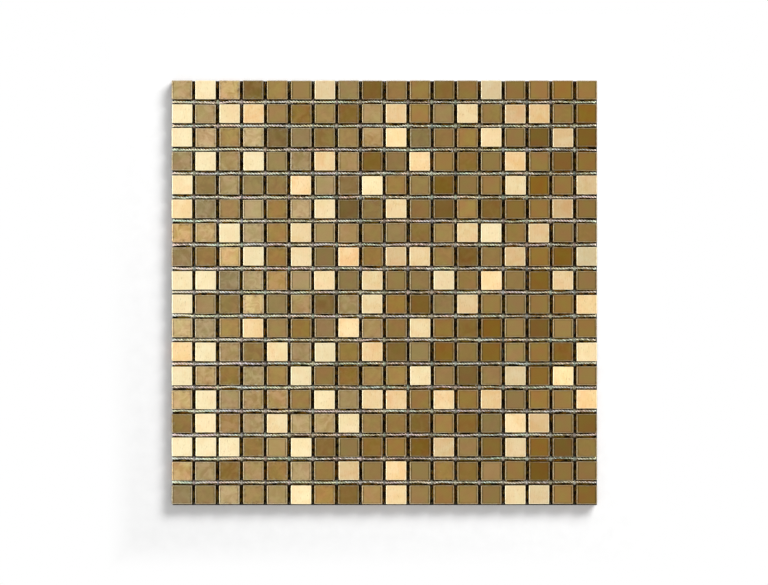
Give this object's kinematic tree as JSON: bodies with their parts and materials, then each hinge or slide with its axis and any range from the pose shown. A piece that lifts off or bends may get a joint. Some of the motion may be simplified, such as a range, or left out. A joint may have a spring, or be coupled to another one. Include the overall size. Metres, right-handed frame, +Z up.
{
  "type": "mosaic tile sheet",
  "caption": "Flat sheet of small square metallic glass mosaic tiles in satin pale gold and glossy bronze gold, held on a yarn net with adhesive dots, ready to bond face up.",
  "frame": {"origin": "centre of the sheet's back, on the plane of the adhesive dots that it lies on", "axes": "+X along the rows, the sheet's slightly longer side; +Y along the columns; +Z up, out of the tile faces"},
  "size_m": [0.3038, 0.3026, 0.0064],
  "materials": {
    "satin_pale_gold_glass": "satin metallic",
    "gloss_light_gold_glass": "gloss metallic",
    "gloss_old_gold_glass": "gloss metallic",
    "gloss_dark_bronze_glass": "gloss metallic",
    "glass_fibre_yarn": "coated twisted yarn",
    "clear_grey_adhesive": "cloudy set adhesive"
  },
  "bodies": {
    "root": {"satin_pale_gold_tiles": "satin_pale_gold_glass", "gloss_light_gold_tiles": "gloss_light_gold_glass", "gloss_old_gold_tiles": "gloss_old_gold_glass", "gloss_dark_bronze_tiles": "gloss_dark_bronze_glass", "yarn_net": "glass_fibre_yarn", "adhesive_dots": "clear_grey_adhesive"}
  },
  "joints": []
}
